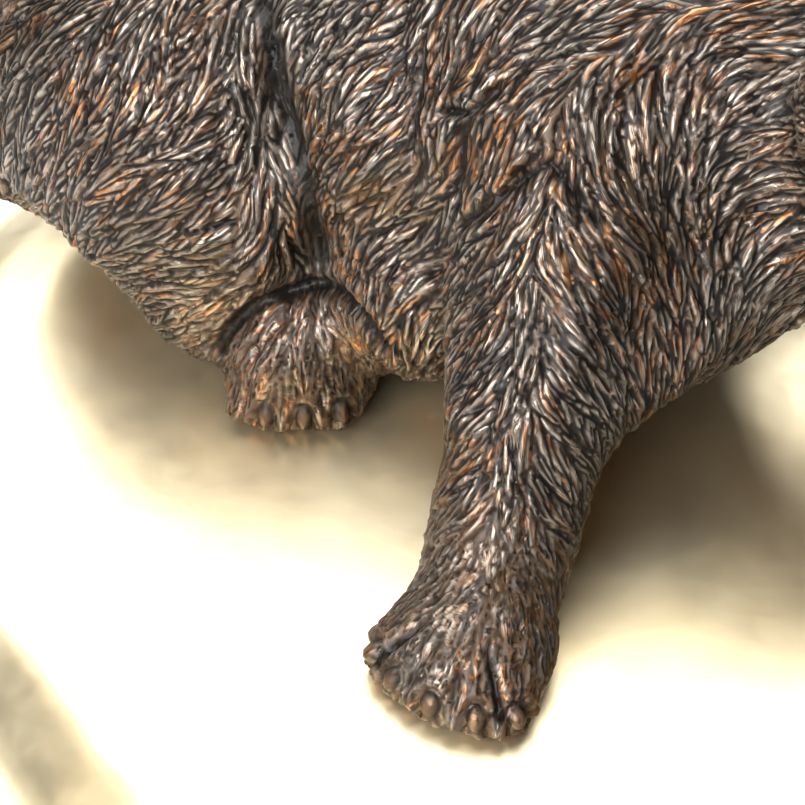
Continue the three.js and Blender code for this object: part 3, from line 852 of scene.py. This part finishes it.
# %% Tufts
TUFT_SPACING = 9 * MM
TUFT_CELL = 14 * MM
TUFT_HALF_LENGTH = (6, 10)
TUFT_HALF_WIDTH = (2.4, 2.8)
TUFT_HEIGHT = (0.5, 1.0)


def by_coat(sizes, coat_here):
    return (sizes[0] + sizes[1] * coat_here) * MM


def spread_of(low, high, count):
    return rng.uniform(low, high, count)


tuft_seeds = one_point_per_cell(skin, TUFT_SPACING, furry)
tuft_coat = coat[tuft_seeds]
tufts = strokes_at(
    tuft_seeds,
    lengths=by_coat(TUFT_HALF_LENGTH, tuft_coat) * spread_of(0.85, 1.2, len(tuft_seeds)),
    widths=by_coat(TUFT_HALF_WIDTH, tuft_coat) * spread_of(0.8, 1.15, len(tuft_seeds)),
    heights=by_coat(TUFT_HEIGHT, tuft_coat) * spread_of(0.5, 1.2, len(tuft_seeds)),
    along=coat_direction(skin[tuft_seeds], normals[tuft_seeds]),
)
tuft_height, tuft_across, tuft_along, tuft_owner = paint_raised(tufts, skin, TUFT_CELL)
print("tufts:", len(tuft_seeds), "share of the skin under them:", round(float((tuft_owner >= 0).mean()), 2))

# %% [markdown]
# ## Raised strokes
# Over the tufts go the strokes that one sees: long, flat leaves on the body, shorter and rounder ones on
# the paws. Within a tuft they are drawn together towards its middle, which is what makes it read as a tuft.
# On the side that the photograph doesn't show they are fewer and broader.

# %% Raised strokes
STROKE_SPACING = 1.5 * MM
STROKE_CELL = 4 * MM
STROKE_HALF_LENGTH = (3.8, 5.7)
STROKE_HALF_WIDTH = (0.75, 0.7)
STROKE_HEIGHT = (1.15, -0.6)
TUFT_PULL = 0.34


def towards_tuft(seeds, pull, scatter):
    """The coat's direction, turned towards the middle of the tuft under each seed."""
    ahead = coat_direction(skin[seeds], normals[seeds])
    turn = np.where(tuft_owner[seeds] >= 0, -pull * tuft_across[seeds], 0)
    turn = turn + rng.normal(0, scatter, len(seeds))
    return unit(ahead + turn[:, None] * np.cross(normals[seeds], ahead))


stroke_seeds = one_point_per_cell(skin, STROKE_SPACING, furry)
stroke_share = (1.0 - 0.6 * coat[stroke_seeds]) / coarseness[stroke_seeds] ** 1.5
stroke_seeds = stroke_seeds[rng.random(len(stroke_seeds)) < stroke_share]
stroke_coat = coat[stroke_seeds]
stroke_width = by_coat(STROKE_HALF_WIDTH, stroke_coat) * coarseness[stroke_seeds]
strokes = strokes_at(
    stroke_seeds,
    lengths=by_coat(STROKE_HALF_LENGTH, stroke_coat) * spread_of(0.7, 1.3, len(stroke_seeds)),
    widths=stroke_width * spread_of(0.6, 1.5, len(stroke_seeds)),
    heights=by_coat(STROKE_HEIGHT, stroke_coat) * spread_of(0.5, 1.2, len(stroke_seeds)),
    along=towards_tuft(stroke_seeds, TUFT_PULL, 0.10),
    flatness=2.5 + 6.5 * stroke_coat,
)
stroke_height, stroke_across, _, stroke_owner = paint_raised(strokes, skin, STROKE_CELL)
print("raised strokes:", len(stroke_seeds))

# %% [markdown]
# ## Cuts
# The photograph shows narrow black lines between and across the strokes, where the tool's edge went in.
# They follow the coat like the strokes do, but are shorter, narrower and pressed in.

# %% Cuts
CUT_SPACING = 2.6 * MM
CUT_HALF_LENGTH = (2.0, 3.0)
CUT_HALF_WIDTH = (0.34, 0.10)
CUT_DEPTH = (0.5, 0.5)

cut_seeds = one_point_per_cell(skin, CUT_SPACING, furry)
cut_seeds = cut_seeds[rng.random(len(cut_seeds)) < 1 / coarseness[cut_seeds] ** 2]
cut_coat = coat[cut_seeds]
cut_width = by_coat(CUT_HALF_WIDTH, cut_coat) * coarseness[cut_seeds]
cuts = strokes_at(
    cut_seeds,
    lengths=by_coat(CUT_HALF_LENGTH, cut_coat) * spread_of(0.6, 1.5, len(cut_seeds)),
    widths=cut_width * spread_of(0.8, 1.3, len(cut_seeds)),
    heights=by_coat(CUT_DEPTH, cut_coat) * spread_of(0.6, 1.4, len(cut_seeds)),
    along=towards_tuft(cut_seeds, TUFT_PULL, 0.08),
)
cut_depth = paint_cuts(cuts, skin, STROKE_CELL)
print("cuts:", len(cut_seeds))

# %% [markdown]
# ## Carving it all into the skin
# Tufts, strokes, cuts, creases, furrows, nails, eyes and nose are all heights above or below the bare skin,
# so they add up to one lift for each point. A displacement in the material would look alike, but the shared
# mesh wouldn't have it. The nails are sunk pads with a groove around them and a soft rim outside that.

# %% Raise the coat, cut the furrows and shape the nails and the face
COAT_BED = 1.1 * MM
NAIL_DOME_IN_MM = 1.2
NAIL_SUNK_IN_MM = 2.0


def bell(value, middle, width):
    return np.exp(-(((value - middle) / width) ** 2))


off_face = smoothstep(1.15, 1.6, eye_share) * smoothstep(1.0, 1.3, nose_share)
fur_fade = smoothstep(1.0, 1.3, nail_share) * off_face
coat_height = fur_fade * (tuft_height + stroke_height - cut_depth - COAT_BED * (0.4 + 0.6 * coat))
nail_round = np.sqrt(np.clip(1 - nail_share**2, 0, 1))
nail_dome = (nail_round * NAIL_DOME_IN_MM - NAIL_SUNK_IN_MM * smoothstep(1.3, 1.0, nail_share)) * MM
nail_groove = (0.5 * bell(nail_share, 1.5, 0.2) - 0.7 * bell(nail_share, 1.1, 0.13)) * MM
eye_dome = np.sqrt(np.clip(1.2 - eye_share**2, 0, 1)) * 0.5 * MM
eye_groove = -1.0 * MM * bell(eye_share, 1.35, 0.15)
nose_rim = -0.8 * MM * bell(nose_share, 1.1, 0.06)
pressed = -crease - furrow * smoothstep(1.0, 1.5, nail_share)
lift = eased(coat_height, body_edges, 1) + nail_dome + nail_groove
lift = lift + eye_dome + eye_groove + nose_rim + pressed
furred = skin + normals * lift[:, None]
set_points(body, eased(furred, body_edges, 1, 0.2))
print("coat from", round(lift.min() / MM, 2), "to", round(lift.max() / MM, 2), "mm")

# %% [markdown]
# ## What the paint needs to know
# The maker's brush finds the grooves by itself. A material can't, so the mesh carries the answers as
# attributes: how high a point is on its stroke, whether it lies in a cut or a crease, which stroke and tuft
# it belongs to, and whether it is nail, eye or nose. They stay on the mesh when it is thinned.

# %% Attributes for the paint
small_relief = stroke_height - cut_depth
hollow = small_relief - eased(small_relief, body_edges, 10)
tone_of_stroke = rng.random(len(stroke_seeds))
add_float(body, "hollow", np.clip(0.5 + hollow * fur_fade / (1.0 * MM), 0, 1))
add_float(body, "cut", np.clip(cut_depth / (0.8 * MM), 0, 1) * fur_fade)
add_float(body, "flank", stroke_across * fur_fade)
add_float(body, "tone", np.where(stroke_owner >= 0, tone_of_stroke[stroke_owner], 0.5))
add_float(body, "nail", smoothstep(1.06, 0.98, nail_share))
add_float(body, "eye", smoothstep(1.25, 1.1, eye_share))
add_float(body, "nose", smoothstep(1.12, 1.0, nose_share))
add_float(body, "nail_middle", np.clip(1 - nail_share, 0, 1))
# painted shade: this attribute darkens the colour in the creases and in the furrows between the toes, where
# shade would fall
add_float(body, "furrow", np.clip(furrow / (2.2 * MM) + crease / (2.8 * MM), 0, 1))
tone_of_tuft = rng.random(len(tuft_seeds))
in_tuft = np.stack([tuft_along, tuft_across, tone_of_tuft[tuft_owner]], axis=-1)
add_vector(body, "lock_place", np.where(tuft_owner[:, None] >= 0, in_tuft, skin * 60))
print("attributes:", [a.name for a in body.attributes if a.data_type in ("FLOAT", "FLOAT_VECTOR")])

# %% [markdown]
# ## A mesh light enough to share
# More than a million points hold the strokes well but are too heavy for a shared part. Remeshing with
# larger voxels would blur every stroke. Collapsing edges keeps long triangles along the strokes and drops
# points from flat ground. It is done in two rounds over the whole figure. The first keeps as many triangles
# as the seen side has now, and some to spare. The second goes on from there to the limit.

# %% Thin the mesh out in two rounds
TRIANGLE_LIMIT = 196000
FIRST_ROUND_SPARE = 62000

body_triangles = triangle_count(body)
first_round = (seen >= 0.5).mean() + FIRST_ROUND_SPARE / body_triangles
half_thinned = applied(body, "DECIMATE", ratio=first_round)
koala_mesh = applied(half_thinned, "DECIMATE", ratio=TRIANGLE_LIMIT / triangle_count(half_thinned))
koala_mesh.name = "koala_coat"
print("triangles:", body_triangles, triangle_count(half_thinned), triangle_count(koala_mesh))

# %% [markdown]
# ## No stray faces
# Collapsing edges can leave a lone triangle standing on an edge of the skin, with two open edges of its
# own. The skin of a casting is closed, so any face with an open edge is such a leftover and is taken away.

# %% Take lone triangles off
work = bmesh.new()
work.from_mesh(koala_mesh)
lone = [face for face in work.faces if any(edge.is_boundary for edge in face.edges)]
bmesh.ops.delete(work, geom=lone, context="FACES")
open_edges = [edge for edge in work.edges if not edge.is_manifold]
print("lone triangles taken off:", len(lone), "open edges left:", len(open_edges))
work.to_mesh(koala_mesh)
work.free()
koala_mesh.polygons.foreach_set("use_smooth", np.ones(len(koala_mesh.polygons), dtype=bool))

# %% [markdown]
# ## Broad hollows and painted shade
# Painted shade darkens the colour wherever the form is hollow: between the big locks, beside the limbs, under
# the chin. Easing the bare body for many rounds fills its hollows, and how far a point moves outwards then
# says how deep it lay. Each point of the thinned mesh takes that depth from the part of the bare body nearest
# to it.

# %% Depth in the broad hollows, for painted shade
HOLLOW_DEPTH = 2.2 * MM
HOLLOW_EASE_ROUNDS = 60

rough_points = points_of(rough)
filled = eased(rough_points, edges_of(rough), HOLLOW_EASE_ROUNDS)
rough_depth = ((filled - rough_points) * normals_of(rough)).sum(axis=1)
rough_valley_shade = smoothstep(0.1, 1.0, rough_depth / HOLLOW_DEPTH)
rough_corners = [tuple(face.vertices) for face in rough.polygons]
valley_shade = np.zeros(len(koala_mesh.vertices))
for index, vertex in enumerate(koala_mesh.vertices):
    _, _, face, _ = bare_surface.find_nearest(vertex.co)
    valley_shade[index] = rough_valley_shade[rough_corners[face][0]]
# painted shade: how deep a point lies in a broad hollow sets how dark the colour is painted there
add_float(koala_mesh, "valley_shade", valley_shade)
print("points in broad hollows:", int((valley_shade > 0.5).sum()), "of", len(valley_shade))

# %% [markdown]
# ## Small tools for the finishes
# A material is a tree of nodes, and naming every node by hand gets long. These helpers add a node and wire
# it in one line each, so that the finishes below read like recipes. A number on the node's own socket stays
# a plain number.

# %% Node helpers
def material_named(name):
    material = bpy.data.materials.new(name)
    material.use_nodes = True
    shader = material.node_tree.nodes["Principled BSDF"]
    return material, material.node_tree, shader


def node(tree, kind, inputs=None, **settings):
    made = tree.nodes.new(kind)
    for key, value in settings.items():
        setattr(made, key, value)
    for key, value in (inputs or {}).items():
        if isinstance(value, bpy.types.NodeSocket):
            tree.links.new(value, made.inputs[key])
        else:
            made.inputs[key].default_value = value
    return made


def attribute(tree, name):
    return node(tree, "ShaderNodeAttribute", attribute_name=name).outputs["Fac"]


def maths(tree, operation, first, second=0.0):
    return node(tree, "ShaderNodeMath", {0: first, 1: second}, operation=operation).outputs[0]


def mixed(tree, factor, low, high):
    made = node(tree, "ShaderNodeMix", data_type="RGBA")
    for index, value in ((0, factor), (6, low), (7, high)):
        if isinstance(value, bpy.types.NodeSocket):
            tree.links.new(value, made.inputs[index])
        else:
            made.inputs[index].default_value = value
    return made.outputs[2]


def between(tree, value, low, high, to_low=0.0, to_high=1.0):
    made = node(tree, "ShaderNodeMapRange", {"Value": value, "From Min": low, "From Max": high}, clamp=True)
    made.inputs["To Min"].default_value = to_low
    made.inputs["To Max"].default_value = to_high
    return made.outputs["Result"]


def noise(tree, scale, detail=3.0, roughness=0.55):
    place = node(tree, "ShaderNodeTexCoord").outputs["Object"]
    settings = {"Vector": place, "Scale": scale, "Detail": detail, "Roughness": roughness}
    return node(tree, "ShaderNodeTexNoise", settings).outputs["Fac"]


def streaks(tree, along, across, shift=0.0):
    """Noise drawn out along the tufts: slow along each one, quick across it, different in every tuft."""
    place = node(tree, "ShaderNodeAttribute", attribute_name="lock_place").outputs["Vector"]
    scaled = node(tree, "ShaderNodeVectorMath", {0: place, 1: (along, across, 90.0)}, operation="MULTIPLY")
    shifts = {0: scaled.outputs[0], 1: (shift, shift, shift)}
    moved = node(tree, "ShaderNodeVectorMath", shifts, operation="ADD")
    made = node(tree, "ShaderNodeTexNoise", {"Vector": moved.outputs[0], "Scale": 1.0, "Detail": 1.5})
    return made.outputs["Fac"]


print("node helpers ready")

# %% [markdown]
# ## The old bronze: flats and worn strokes
# The maker sprays the resin with dark bronze and rubs the high places until a paler metal shows. So the
# colour follows the carving. The tops of the strokes are paler than their sides, and every stroke has a
# tone of its own, because no two rubs are alike. Broad patches are tinted with a warm umber.

# %% Bronze, worn tops and umber
# GROOVE_BLACK is the black wash, the eyes and the nose, and the painted shade in creases, furrows and broad
# hollows
GROOVE_BLACK = (0.006, 0.005, 0.0045, 1)
DARK_BRONZE = (0.075, 0.058, 0.046, 1)
WORN_BRONZE = (0.35, 0.305, 0.255, 1)
COPPER = (0.42, 0.155, 0.038, 1)
UMBER = (0.115, 0.066, 0.03, 1)
NAIL_DARK = (0.035, 0.028, 0.022, 1)
NAIL_COPPER = (0.12, 0.07, 0.04, 1)

bronze, tree, shader = material_named("old_bronze")
hollow_value = attribute(tree, "hollow")
tone_value = attribute(tree, "tone")
flank_value = attribute(tree, "flank")
high_place = between(tree, hollow_value, 0.45, 0.75)
worn = maths(tree, "MULTIPLY", high_place, between(tree, tone_value, 0.0, 1.0, 0.3, 1.0))
base = mixed(tree, worn, DARK_BRONZE, WORN_BRONZE)
umber_patches = between(tree, noise(tree, 22.0), 0.45, 0.6)
umber_amount = maths(tree, "MULTIPLY", umber_patches, between(tree, tone_value, 0.3, 0.6))
base = mixed(tree, maths(tree, "MULTIPLY", umber_amount, 0.8), base, UMBER)
print("material:", bronze.name)

# %% [markdown]
# ## Copper
# Copper shows along one flank of some strokes, and in streaks that run along the tufts, denser in some
# patches of the coat than in others. A plain noise would give round blots, so the streaks use the place
# within each tuft.

# %% Copper on flanks and in streaks
copper_patches = between(tree, noise(tree, 30.0), 0.40, 0.60, 0.15, 1.0)
copper_tones = between(tree, tone_value, 0.45, 0.75)
copper_strokes = maths(tree, "MULTIPLY", copper_tones, between(tree, flank_value, 0.1, 0.7))
copper_streaks = between(tree, streaks(tree, 1.5, 5.0, 7.0), 0.57, 0.66)
copper_places = maths(tree, "MAXIMUM", copper_strokes, copper_streaks)
copper_amount = maths(tree, "MULTIPLY", copper_patches, copper_places)
base = mixed(tree, maths(tree, "MULTIPLY", copper_amount, 0.95), base, COPPER)
print("nodes so far:", len(tree.nodes))

# %% [markdown]
# ## Nails, face, dark grooves and painted shade
# The nails are dark with a coppery middle, and the eyes and the nose are black. Last comes the black: the
# wash that the maker leaves between the strokes, in the cuts and in fine lines along the strokes that are too
# small to be mesh, and painted shade in the creases, the furrows and the broad hollows.

# %% Nails, face, grooves and painted shade
fine_line = maths(tree, "ABSOLUTE", maths(tree, "SUBTRACT", streaks(tree, 2.0, 6.5), 0.5))
fine_line = between(tree, fine_line, 0.028, 0.006)
face_parts = maths(tree, "MAXIMUM", attribute(tree, "eye"), attribute(tree, "nose"))
smooth_parts = maths(tree, "MAXIMUM", attribute(tree, "nail"), face_parts)
nail_paint = mixed(tree, between(tree, attribute(tree, "nail_middle"), 0.15, 0.6), NAIL_DARK, NAIL_COPPER)
base = mixed(tree, attribute(tree, "nail"), base, nail_paint)
base = mixed(tree, face_parts, base, GROOVE_BLACK)
low_place = between(tree, hollow_value, 0.40, 0.12)
wash_and_shade = maths(tree, "MAXIMUM", low_place, between(tree, attribute(tree, "cut"), 0.35, 0.9))
# painted shade: the creases and the furrows between the toes are darkened
wash_and_shade = maths(tree, "MAXIMUM", wash_and_shade, between(tree, attribute(tree, "furrow"), 0.3, 0.8))
# painted shade: the broad hollows beside the limbs and under the chin are darkened
wash_and_shade = maths(tree, "MAXIMUM", wash_and_shade, between(tree, attribute(tree, "valley_shade"), 0.0, 1.0, 0.0, 0.75))
fine_line = maths(tree, "MULTIPLY", fine_line, maths(tree, "SUBTRACT", 1.0, smooth_parts))
wash_and_shade = maths(tree, "MAXIMUM", wash_and_shade, maths(tree, "MULTIPLY", fine_line, 0.8))
# black wash in the grooves and cuts, and painted shade in the creases, furrows and broad hollows
base = mixed(tree, maths(tree, "MULTIPLY", wash_and_shade, 0.94), base, GROOVE_BLACK)
tree.links.new(base, shader.inputs["Base Color"])
print("nodes so far:", len(tree.nodes))

# %% [markdown]
# ## Shine and the finest lines
# The finish is mostly metallic, satin on the strokes and duller in the grooves, with a thin lacquer over it
# that gives the pale sheen on everything that faces the light. Lines under 0.3 mm deep and the grain of the
# spray are too fine for the mesh, so they alone are left to bump.

# %% Shine, fine lines and grain
shader.inputs["Metallic"].default_value = 0.85
rough_value = between(tree, noise(tree, 240.0, 2.0), 0.3, 0.7, 0.26, 0.40)
rough_value = maths(tree, "ADD", rough_value, maths(tree, "MULTIPLY", wash_and_shade, 0.25))
rough_value = maths(tree, "SUBTRACT", rough_value, maths(tree, "MULTIPLY", face_parts, 0.15))
tree.links.new(rough_value, shader.inputs["Roughness"])
shader.inputs["Coat Weight"].default_value = 0.15
shader.inputs["Coat Roughness"].default_value = 0.22
line_height = maths(tree, "SUBTRACT", maths(tree, "MULTIPLY", streaks(tree, 3.0, 11.0, 3.0), 0.5), fine_line)
lines = node(tree, "ShaderNodeBump", {"Height": line_height, "Distance": 0.0003, "Strength": 0.8})
spray = noise(tree, 700.0, 2.0)
grain = node(tree, "ShaderNodeBump", {"Height": spray, "Distance": 0.0002, "Strength": 0.25})
tree.links.new(lines.outputs["Normal"], grain.inputs["Normal"])
tree.links.new(grain.outputs["Normal"], shader.inputs["Normal"])
print("nodes in the old bronze:", len(tree.nodes))

# %% [markdown]
# ## The koala takes the solid's place
# The carved mesh is one piece, as the casting is. It rides on the model's only body, stands for the packed
# solid and goes by a finish that a user of the part can change.

# %% Put the koala in place
koala = bpy.data.objects.new("koala_coat", koala_mesh)
bpy.context.scene.collection.objects.link(koala)
koala_mesh.materials.clear()
koala_mesh.materials.append(bronze)
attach(koala, "root")
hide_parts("koala")
coat_points = points_of(koala_mesh)
print("koala from", coat_points.min(axis=0).round(4), "to", coat_points.max(axis=0).round(4))

# %% [markdown]
# ## The gilded boulder
# The rock is one low swelling form with a few shallow dents, painted in pale gold over a smooth surface.
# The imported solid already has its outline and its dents, in flat facets. Remeshing and easing it rounds the
# facets off, and the flat underside, which stands on the table, is put back as it was.

# %% Boulder mesh
BOULDER_VOXEL = 1.8 * MM
BOULDER_EASE_ROUNDS = 14
UNDERSIDE_HEIGHT = 0.6 * MM

rock = applied(boulder_mesh, "REMESH", mode="VOXEL", voxel_size=BOULDER_VOXEL)
rock_edges = edges_of(rock)
rock_points = points_of(rock)
underside = rock_points[:, 2] < UNDERSIDE_HEIGHT
smooth_points = eased(rock_points, rock_edges, BOULDER_EASE_ROUNDS)
smooth_points[underside] = rock_points[underside]
set_points(rock, smooth_points)
rock.name = "gilded_rock"
rock.polygons.foreach_set("use_smooth", np.ones(len(rock.polygons), dtype=bool))
print("boulder triangles:", triangle_count(rock))

# %% [markdown]
# ## Pale gold
# The gold is a metallic paint: pale yellow, slightly deeper in broad patches, with a soft and uneven gloss
# and a faint grain of brush marks. Polished gold would mirror the room sharply, and the photograph shows
# only soft pools of light.

# %% Pale gold
GOLD = (0.86, 0.76, 0.53, 1)
GOLD_DEEP = (0.74, 0.60, 0.36, 1)
gold, tree, shader = material_named("pale_gold")
gold_patches = between(tree, noise(tree, 14.0), 0.35, 0.7)
tree.links.new(mixed(tree, gold_patches, GOLD, GOLD_DEEP), shader.inputs["Base Color"])
shader.inputs["Metallic"].default_value = 0.92
tree.links.new(between(tree, noise(tree, 60.0), 0.3, 0.7, 0.32, 0.42), shader.inputs["Roughness"])
brush_marks = noise(tree, 260.0, 2.0)
brush = node(tree, "ShaderNodeBump", {"Height": brush_marks, "Distance": 0.0003, "Strength": 0.10})
tree.links.new(brush.outputs["Normal"], shader.inputs["Normal"])
print("nodes in the pale gold:", len(tree.nodes))

# %% [markdown]
# ## The boulder takes the solid's place
# Like the koala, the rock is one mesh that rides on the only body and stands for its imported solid.

# %% Put the boulder in place
rock_object = bpy.data.objects.new("gilded_rock", rock)
bpy.context.scene.collection.objects.link(rock_object)
rock.materials.clear()
rock.materials.append(gold)
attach(rock_object, "root")
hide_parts("boulder_base")
rock_points = points_of(rock)
print("boulder from", rock_points.min(axis=0).round(4), "to", rock_points.max(axis=0).round(4))

# %% [markdown]
# ## The floor
# A plain pale floor stands in for the table. It is only there for the picture.

# %% Floor
FLOOR_HALF = 3.0
FLOOR_CORNERS = [(-1, -1), (1, -1), (1, 1), (-1, 1)]

floor_mesh = bpy.data.meshes.new("floor")
floor_mesh.from_pydata([(x * FLOOR_HALF, y * FLOOR_HALF, 0) for x, y in FLOOR_CORNERS], [], [(0, 1, 2, 3)])
floor_paint, tree, shader = material_named("pale_floor")
shader.inputs["Base Color"].default_value = (0.78, 0.77, 0.75, 1)
shader.inputs["Roughness"].default_value = 0.7
floor_mesh.materials.append(floor_paint)
floor = bpy.data.objects.new("floor", floor_mesh)
bpy.context.scene.collection.objects.link(floor)
print("floor of", 2 * FLOOR_HALF, "m")

# %% [markdown]
# ## Light
# Metal looks like what it mirrors, so the lights are large and soft. The larger one stands above and behind
# the animal and gives the sheen on its back and the bright pool in the gold. The smaller one stands in
# front and to the left, and lights the strokes that face the camera. A little grey light comes from all
# around.

# %% Lights and surroundings
def soft_light(name, place, aim, size, power):
    data = bpy.data.lights.new(name, "AREA")
    data.shape = "RECTANGLE"
    data.size, data.size_y = size
    data.energy = power
    made = bpy.data.objects.new(name, data)
    made.location = place
    made.rotation_euler = (Vector(aim) - Vector(place)).to_track_quat("-Z", "Y").to_euler()
    bpy.context.scene.collection.objects.link(made)


soft_light("overhead_light", (-0.15, 0.55, 1.15), (0, 0, 0.08), (1.4, 1.6), 42)
soft_light("front_light", (-0.56, -0.81, 0.69), (0, 0, 0.1), (0.9, 0.9), 29)
bpy.context.scene.view_settings.view_transform = "Standard"
world = bpy.data.worlds.new("studio")
bpy.context.scene.world = world
world.use_nodes = True
world.node_tree.nodes["Background"].inputs["Color"].default_value = (1, 1, 1, 1)
world.node_tree.nodes["Background"].inputs["Strength"].default_value = 0.07
